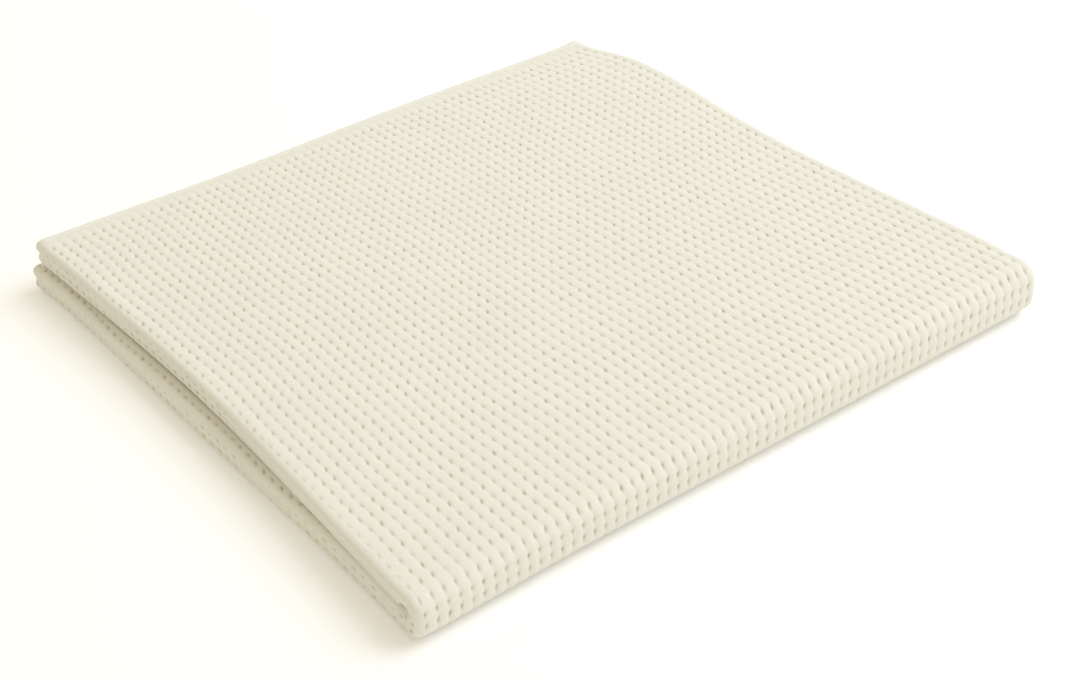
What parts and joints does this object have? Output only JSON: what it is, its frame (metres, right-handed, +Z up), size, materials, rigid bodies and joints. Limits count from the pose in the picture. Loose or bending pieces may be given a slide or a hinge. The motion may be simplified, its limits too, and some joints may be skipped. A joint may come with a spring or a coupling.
{
  "type": "folded throw blanket",
  "caption": "Cream throw blanket of thick nubby woven cloth, folded flat into a square pack; the top half opens like a book along the front fold.",
  "frame": {"origin": "on the surface the throw rests on, under the middle of the folded throw", "axes": "+Z up through the pack; +X along the front fold, from the nose side to the side with the side turn; +Y from the front fold to the back fold, so the front fold is on -Y"},
  "size_m": [0.438, 0.4564, 0.0362],
  "materials": {
    "cloth": "matte nubby weave of thick cotton yarn, warm cream",
    "hem": "matte plain cotton, smooth narrow turned hem",
    "thread": "matte cotton sewing thread, cream"
  },
  "bodies": {
    "folded_base": {"bottom_outer_cover": "cloth", "bottom_outer_tuck": "cloth", "bottom_outer_end_hem": "hem", "bottom_outer_tuck_hem": "hem", "bottom_inner_cover": "cloth", "bottom_inner_tuck": "cloth", "bottom_inner_end_hem": "hem", "bottom_inner_tuck_hem": "hem", "fold_lower_outer_cover": "cloth", "fold_lower_outer_tuck": "cloth", "fold_lower_outer_end_hem": "hem", "fold_lower_outer_tuck_hem": "hem", "fold_lower_inner_cover": "cloth", "fold_lower_inner_tuck": "cloth", "fold_lower_inner_end_hem": "hem", "fold_lower_inner_tuck_hem": "hem", "back_fold": "cloth"},
    "top_half": {"fold_upper_outer_cover": "cloth", "fold_upper_outer_tuck": "cloth", "fold_upper_outer_end_hem": "hem", "fold_upper_outer_tuck_hem": "hem", "fold_upper_inner_cover": "cloth", "fold_upper_inner_tuck": "cloth", "fold_upper_inner_end_hem": "hem", "fold_upper_inner_tuck_hem": "hem", "top_outer_cover": "cloth", "top_outer_tuck": "cloth", "top_outer_end_hem": "hem", "top_outer_tuck_hem": "hem", "top_inner_cover": "cloth", "top_inner_tuck": "cloth", "top_inner_end_hem": "hem", "top_inner_tuck_hem": "hem", "top_outer_side_hem": "hem", "top_inner_side_hem": "hem", "side_hem_thread": "thread", "end_hem_thread": "thread"}
  },
  "joints": [
    {"name": "top_half_opens", "type": "hinge", "parent": "folded_base", "child": "top_half", "pos_m": [0, -0.22853, 0.01795], "axis": [1, 0, 0], "range_deg": [0, 180]}
  ]
}
